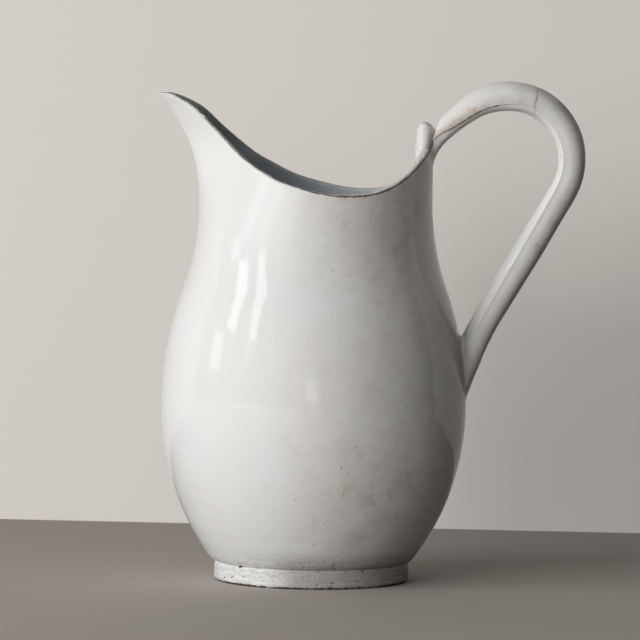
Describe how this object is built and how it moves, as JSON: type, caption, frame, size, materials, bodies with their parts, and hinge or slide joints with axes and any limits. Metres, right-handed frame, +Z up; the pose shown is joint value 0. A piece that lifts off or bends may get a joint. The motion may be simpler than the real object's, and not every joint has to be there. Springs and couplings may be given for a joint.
{
  "type": "ceramic pitcher",
  "caption": "Wide-bellied glazed pitcher on a low turned foot, with a high drawn spout, a saddle rim, a thumb rest and one looped handle.",
  "frame": {"origin": "centre of the foot's resting face, on the vessel's own axis", "axes": "+Z up along the vessel's axis, -X towards the spout, +X towards the handle, the XZ plane cuts the vessel into two like halves"},
  "size_m": [0.2358, 0.168, 0.2762],
  "materials": {
    "white_glaze": "gloss tin-white glaze, hand brushed, with pinholes and brown specks",
    "foot_glaze": "thin crawled glaze over turning ridges, chipped to the dark body along the edge"
  },
  "bodies": {
    "root": {"foot_ring": "foot_glaze", "floor_disc": "white_glaze", "lower_bowl": "white_glaze", "body_wall": "white_glaze", "neck_collar": "white_glaze", "thumb_rest": "white_glaze", "handle_strap": "white_glaze", "handle_limb": "white_glaze", "root_fillet": "white_glaze", "tail_fillet": "white_glaze"}
  },
  "joints": []
}
